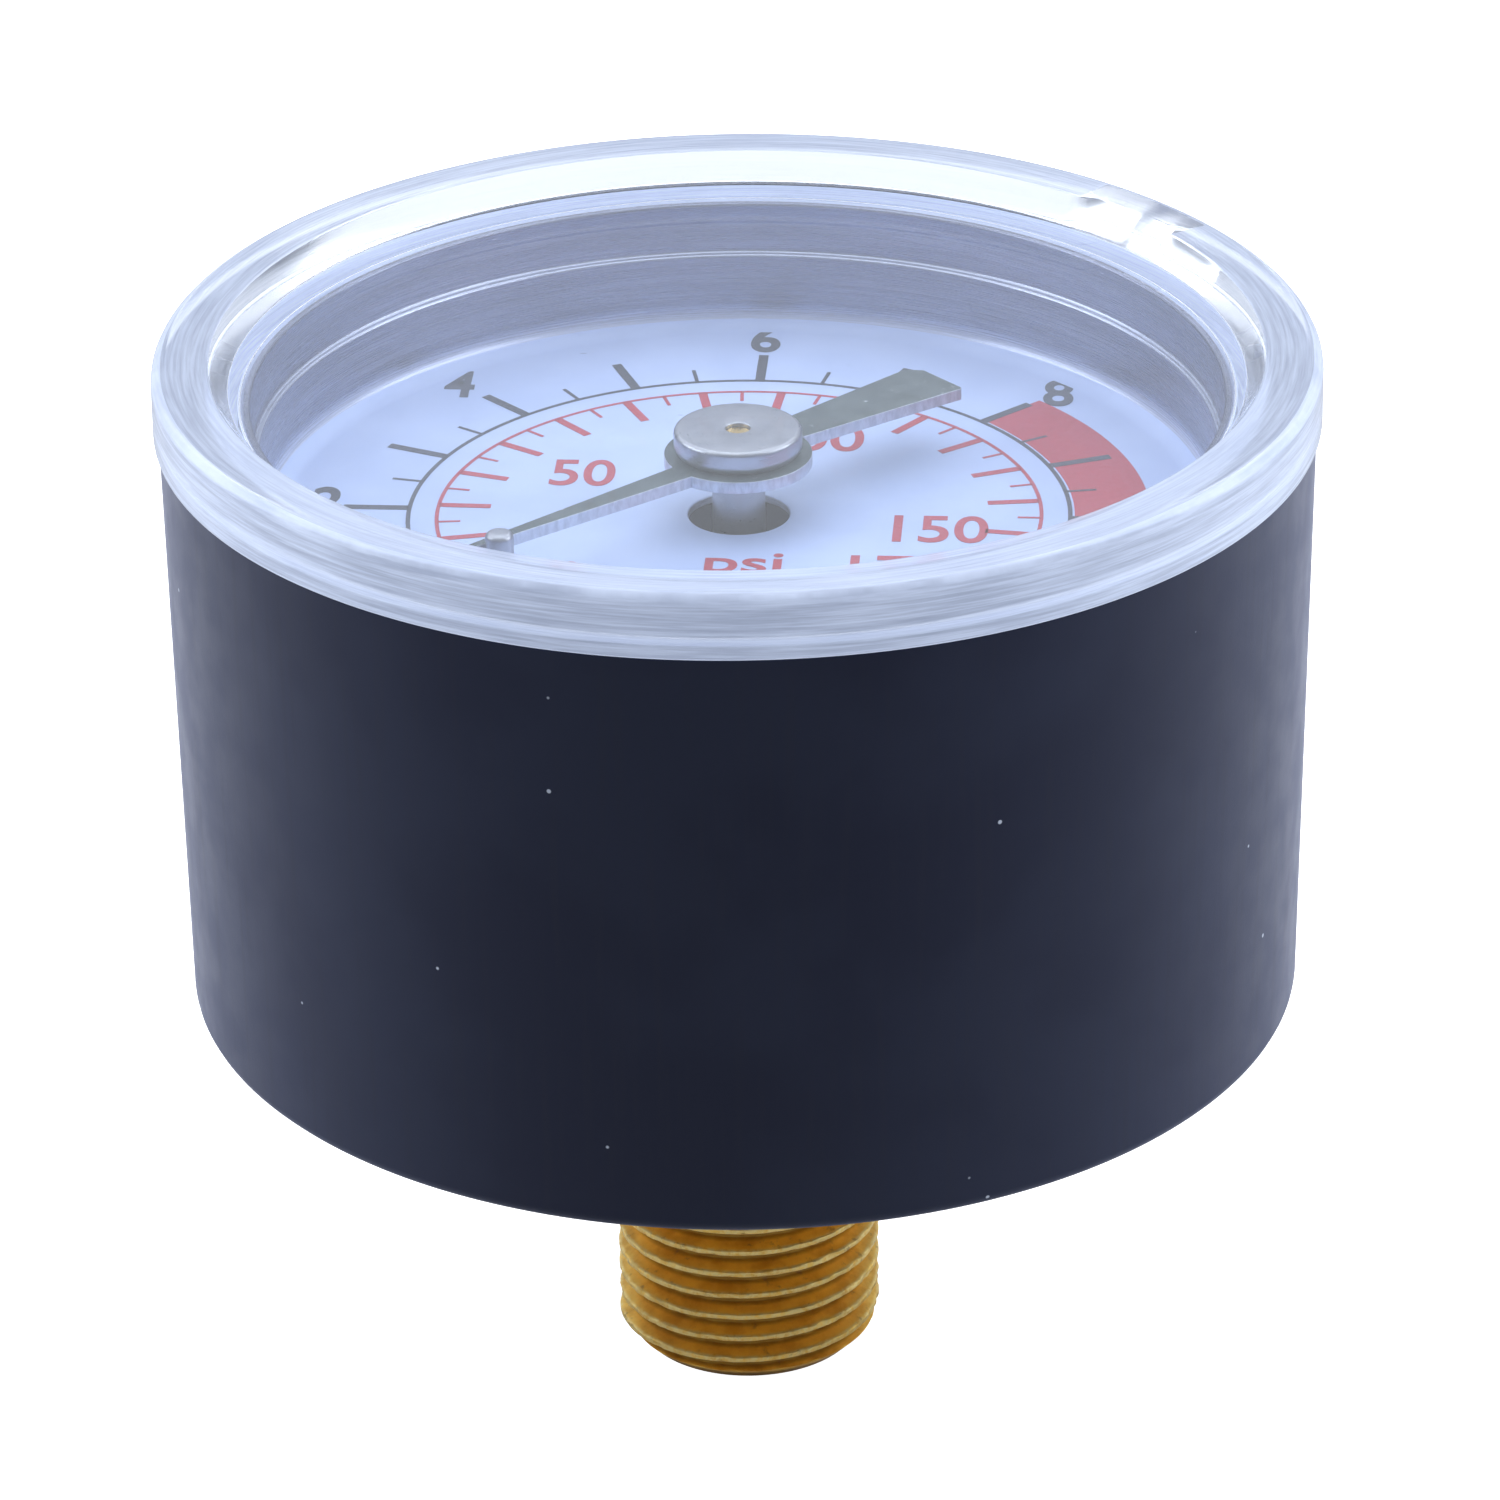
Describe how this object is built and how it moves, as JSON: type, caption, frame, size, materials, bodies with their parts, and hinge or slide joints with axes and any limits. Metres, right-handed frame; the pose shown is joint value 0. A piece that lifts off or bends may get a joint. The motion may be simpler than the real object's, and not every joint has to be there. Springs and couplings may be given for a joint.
{
  "type": "pressure gauge",
  "caption": "Round panel-size dial pressure gauge with a clear clip-in window, black case and a threaded stem at the centre of the back.",
  "frame": {"origin": "centre of the threaded stem's end face, which is the bottom of the object", "axes": "+Z along the stem and pointer axis towards the dial, +Y towards 12 o'clock on the dial, +X towards 3 o'clock"},
  "size_m": [0.0416, 0.0416, 0.0399],
  "materials": {
    "black_plastic": "matte",
    "clear_plastic": "clear moulded",
    "dial_sheet": "bright wall, printed face",
    "brass": "machined",
    "bronze": "drawn",
    "steel": "plated",
    "nickel": "polished",
    "pointer_paint": "satin"
  },
  "bodies": {
    "frame": {"case": "black_plastic", "window": "clear_plastic", "dial": "dial_sheet", "stop_pin": "nickel", "socket": "brass", "case_screw_1": "steel", "case_screw_2": "steel", "bourdon_tube": "bronze", "back_plate": "brass", "front_plate": "brass", "pillar_1": "brass", "pillar_2": "brass", "plate_screw_1": "steel", "plate_screw_2": "steel", "movement_screw_1": "steel", "movement_screw_2": "steel", "hairspring": "bronze", "hairspring_stud": "brass"},
    "tip": {"tube_tip": "brass", "tip_pin": "steel"},
    "link": {"link": "brass", "link_pin": "steel"},
    "sector": {"sector": "brass", "sector_arbor": "steel"},
    "pointer": {"pinion_arbor": "brass", "hairspring_collet": "brass", "pointer": "pointer_paint", "pointer_hub": "nickel"}
  },
  "joints": [
    {"name": "sector_swing", "type": "hinge", "parent": "frame", "child": "sector", "pos_m": [0.00496, -0.00708, 0.0255], "axis": [0, 0, 1], "range_deg": [0, 34.5]},
    {"name": "pointer_spin", "type": "hinge", "parent": "frame", "child": "pointer", "pos_m": [0, 0, 0.0255], "axis": [0, 0, 1], "range_deg": [-276, 0], "deforming": ["hairspring"]},
    {"name": "tip_flex", "type": "hinge", "parent": "frame", "child": "tip", "pos_m": [-0.00025, 0.00649, 0.0255], "axis": [0, 0, 1], "range_deg": [0, 6.82], "deforming": ["bourdon_tube"]},
    {"name": "link_swing", "type": "hinge", "parent": "tip", "child": "link", "pos_m": [0.0107, -0.00522, 0.0243], "axis": [0, 0, 1], "range_deg": [-7.57, 0]}
  ],
  "couplings": [
    {"joint": "pointer_spin", "follows": "sector_swing", "ratio": -8},
    {"joint": "tip_flex", "follows": "sector_swing", "ratio": 0.1975},
    {"joint": "link_swing", "follows": "sector_swing", "ratio": -0.2192}
  ]
}
